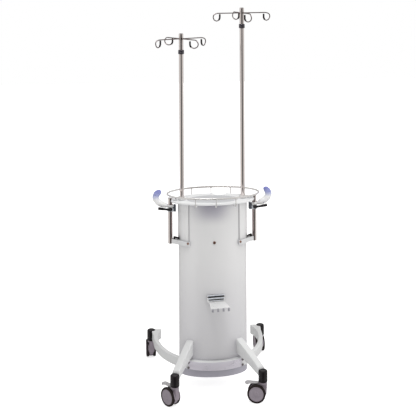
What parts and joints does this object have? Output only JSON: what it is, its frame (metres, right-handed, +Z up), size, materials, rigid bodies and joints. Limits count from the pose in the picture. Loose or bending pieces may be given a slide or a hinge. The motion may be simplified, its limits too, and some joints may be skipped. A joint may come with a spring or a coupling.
{
  "type": "infusion pole stand",
  "caption": "Free-standing infusion stand: oval cabinet column with a railed tray, telescopic hook-head poles, side rails with clamped push handles, fold-up bag bracket and casters.",
  "frame": {"origin": "on the floor, under the middle of the overall footprint at rest", "axes": "+Z up, -Y towards the front of the column, +X to the right seen from the front"},
  "size_m": [0.7144, 0.7628, 2.098],
  "materials": {
    "panel": "satin light grey powder coat",
    "white_metal": "satin white powder coat",
    "base_metal": "white powder coat on cast aluminium",
    "tray": "satin white",
    "boss": "moulded white plastic",
    "steel": "polished stainless steel tube",
    "rod": "ground stainless steel",
    "guide": "drawn",
    "rail_wire": "bright",
    "bracket": "satin",
    "plate_steel": "zinc plated",
    "ballast": "rough",
    "lock": "nickel plated",
    "black_plastic": "fine textured",
    "collar": "smoked glossy",
    "clamp": "moulded grey",
    "handle": "smooth pale grip",
    "grip": "soft violet blue",
    "hood": "moulded mauve grey",
    "pedal": "moulded light grey",
    "wheel": "black tread on a mauve-grey disc"
  },
  "bodies": {
    "root": {"body_front_shell": "panel", "body_rear_shell": "panel", "side_plate_left": "white_metal", "side_plate_right": "white_metal", "base_plate": "plate_steel", "ballast_weight": "ballast", "top_tray": "tray", "tray_rail": "rail_wire", "bag_bracket_mount": "bracket", "base_bow": "base_metal", "front_leg_left": "base_metal", "front_leg_right": "base_metal", "pole_boss_left": "boss", "pole_guide_left": "guide", "side_rail_left": "steel", "rail_lower_bracket_left": "white_metal", "rail_upper_bracket_left": "white_metal", "pole_boss_right": "boss", "pole_guide_right": "guide", "side_rail_right": "steel", "rail_lower_bracket_right": "white_metal", "rail_upper_bracket_right": "white_metal", "caster_socket_front_left": "black_plastic", "caster_socket_front_right": "black_plastic", "caster_socket_rear_left": "black_plastic", "caster_socket_rear_right": "black_plastic"},
    "pole_left": {"pole_tube_left": "steel", "pole_collar_left": "collar"},
    "rod_left": {"inner_rod_left": "rod"},
    "head_left": {"hook_head_left": "steel"},
    "pole_right": {"pole_tube_right": "steel", "pole_collar_right": "collar"},
    "rod_right": {"inner_rod_right": "rod"},
    "head_right": {"hook_head_right": "steel"},
    "clamp_left": {"clamp_block_left": "clamp"},
    "clamp_lever_left": {"clamp_lever_left": "black_plastic"},
    "handle_left": {"handle_arm_left": "handle", "handle_grip_left": "grip"},
    "rail_lock_left": {"rail_lock_lever_left": "black_plastic"},
    "clamp_right": {"clamp_block_right": "clamp"},
    "clamp_lever_right": {"clamp_lever_right": "black_plastic"},
    "handle_right": {"handle_arm_right": "handle", "handle_grip_right": "grip"},
    "rail_lock_right": {"rail_lock_lever_right": "black_plastic"},
    "lock": {"body_lock": "lock"},
    "bag_shelf": {"bag_bracket": "bracket"},
    "pedal_front_left": {"brake_pedal_front_left": "pedal"},
    "pedal_front_right": {"brake_pedal_front_right": "pedal"},
    "caster_front_left": {"caster_fork_front_left": "hood"},
    "wheel_front_left_a": {"wheel_front_left_a": "wheel"},
    "wheel_front_left_b": {"wheel_front_left_b": "wheel"},
    "caster_front_right": {"caster_fork_front_right": "hood"},
    "wheel_front_right_a": {"wheel_front_right_a": "wheel"},
    "wheel_front_right_b": {"wheel_front_right_b": "wheel"},
    "caster_rear_left": {"caster_fork_rear_left": "hood"},
    "wheel_rear_left_a": {"wheel_rear_left_a": "wheel"},
    "wheel_rear_left_b": {"wheel_rear_left_b": "wheel"},
    "caster_rear_right": {"caster_fork_rear_right": "hood"},
    "wheel_rear_right_a": {"wheel_rear_right_a": "wheel"},
    "wheel_rear_right_b": {"wheel_rear_right_b": "wheel"}
  },
  "joints": [
    {"name": "pole_lift_left", "type": "slide", "parent": "root", "child": "pole_left", "axis": [0, 0, 1], "range_m": [-0.59, 0.137]},
    {"name": "pole_lift_right", "type": "slide", "parent": "root", "child": "pole_right", "axis": [0, 0, 1], "range_m": [-0.73, 0]},
    {"name": "rod_lift_left", "type": "slide", "parent": "pole_left", "child": "rod_left", "axis": [0, 0, 1], "range_m": [0, 0.45]},
    {"name": "rod_lift_right", "type": "slide", "parent": "pole_right", "child": "rod_right", "axis": [0, 0, 1], "range_m": [0, 0.45]},
    {"name": "head_turn_left", "type": "hinge", "parent": "rod_left", "child": "head_left", "pos_m": [-0.17082, -0.07949, 1.9], "axis": [0, 0, 1], "continuous": true},
    {"name": "head_turn_right", "type": "hinge", "parent": "rod_right", "child": "head_right", "pos_m": [0.17218, -0.07949, 1.9], "axis": [0, 0, 1], "continuous": true},
    {"name": "handle_height_left", "type": "slide", "parent": "root", "child": "clamp_left", "axis": [0, 0, 1], "range_m": [-0.11, 0]},
    {"name": "handle_height_right", "type": "slide", "parent": "root", "child": "clamp_right", "axis": [0, 0, 1], "range_m": [-0.11, 0]},
    {"name": "handle_swing_left", "type": "hinge", "parent": "clamp_left", "child": "handle_left", "pos_m": [-0.23632, -0.07949, 0.996], "axis": [0, 0, 1], "range_deg": [-70, 0]},
    {"name": "handle_swing_right", "type": "hinge", "parent": "clamp_right", "child": "handle_right", "pos_m": [0.23768, -0.07949, 0.996], "axis": [0, 0, 1], "range_deg": [0, 70]},
    {"name": "clamp_lever_turn_left", "type": "hinge", "parent": "clamp_left", "child": "clamp_lever_left", "pos_m": [-0.23632, -0.10449, 0.982], "axis": [0, 1, 0], "range_deg": [-60, 10]},
    {"name": "clamp_lever_turn_right", "type": "hinge", "parent": "clamp_right", "child": "clamp_lever_right", "pos_m": [0.23768, -0.10449, 0.982], "axis": [0, 1, 0], "range_deg": [-10, 60]},
    {"name": "rail_lock_turn_left", "type": "hinge", "parent": "root", "child": "rail_lock_left", "pos_m": [-0.21332, -0.09049, 0.822], "axis": [0, 0, 1], "range_deg": [-60, 0]},
    {"name": "rail_lock_turn_right", "type": "hinge", "parent": "root", "child": "rail_lock_right", "pos_m": [0.21468, -0.09049, 0.822], "axis": [0, 0, 1], "range_deg": [0, 60]},
    {"name": "lock_turn", "type": "hinge", "parent": "root", "child": "lock", "pos_m": [-0.00132, -0.18649, 0.812], "axis": [0, 1, 0], "range_deg": [0, 90]},
    {"name": "bag_shelf_fold", "type": "hinge", "parent": "root", "child": "bag_shelf", "pos_m": [0.00757, -0.19294, 0.49], "axis": [-0.9945, -0.1045, 0], "range_deg": [0, 82]},
    {"name": "brake_front_left", "type": "hinge", "parent": "caster_front_left", "child": "pedal_front_left", "pos_m": [-0.25088, -0.33193, 0.1044], "axis": [-0.7826, -0.6225, 0], "range_deg": [0, 8]},
    {"name": "brake_front_right", "type": "hinge", "parent": "caster_front_right", "child": "pedal_front_right", "pos_m": [0.21248, -0.34523, 0.1044], "axis": [-0.2504, -0.9681, 0], "range_deg": [0, 8]},
    {"name": "caster_swivel_front_left", "type": "hinge", "parent": "root", "child": "caster_front_left", "pos_m": [-0.23532, -0.35149, 0.12], "axis": [0, 0, 1], "continuous": true},
    {"name": "caster_swivel_front_right", "type": "hinge", "parent": "root", "child": "caster_front_right", "pos_m": [0.23668, -0.35149, 0.12], "axis": [0, 0, 1], "continuous": true},
    {"name": "caster_swivel_rear_left", "type": "hinge", "parent": "root", "child": "caster_rear_left", "pos_m": [-0.32732, 0.29651, 0.12], "axis": [0, 0, 1], "continuous": true},
    {"name": "caster_swivel_rear_right", "type": "hinge", "parent": "root", "child": "caster_rear_right", "pos_m": [0.32868, 0.29651, 0.12], "axis": [0, 0, 1], "continuous": true},
    {"name": "wheel_roll_front_left_a", "type": "hinge", "parent": "caster_front_left", "child": "wheel_front_left_a", "pos_m": [-0.25648, -0.32488, 0.0495], "axis": [-0.7826, -0.6225, 0], "continuous": true},
    {"name": "wheel_roll_front_left_b", "type": "hinge", "parent": "caster_front_left", "child": "wheel_front_left_b", "pos_m": [-0.25648, -0.32488, 0.0495], "axis": [-0.7826, -0.6225, 0], "continuous": true},
    {"name": "wheel_roll_front_right_a", "type": "hinge", "parent": "caster_front_right", "child": "wheel_front_right_a", "pos_m": [0.20377, -0.34298, 0.0495], "axis": [-0.2504, -0.9681, 0], "continuous": true},
    {"name": "wheel_roll_front_right_b", "type": "hinge", "parent": "caster_front_right", "child": "wheel_front_right_b", "pos_m": [0.20377, -0.34298, 0.0495], "axis": [-0.2504, -0.9681, 0], "continuous": true},
    {"name": "wheel_roll_rear_left_a", "type": "hinge", "parent": "caster_rear_left", "child": "wheel_rear_left_a", "pos_m": [-0.32821, 0.3305, 0.0495], "axis": [-0.9997, -0.0262, 0], "continuous": true},
    {"name": "wheel_roll_rear_left_b", "type": "hinge", "parent": "caster_rear_left", "child": "wheel_rear_left_b", "pos_m": [-0.32821, 0.3305, 0.0495], "axis": [-0.9997, -0.0262, 0], "continuous": true},
    {"name": "wheel_roll_rear_right_a", "type": "hinge", "parent": "caster_rear_right", "child": "wheel_rear_right_a", "pos_m": [0.32649, 0.33044, 0.0495], "axis": [-0.9979, -0.0645, 0], "continuous": true},
    {"name": "wheel_roll_rear_right_b", "type": "hinge", "parent": "caster_rear_right", "child": "wheel_rear_right_b", "pos_m": [0.32649, 0.33044, 0.0495], "axis": [-0.9979, -0.0645, 0], "continuous": true}
  ]
}
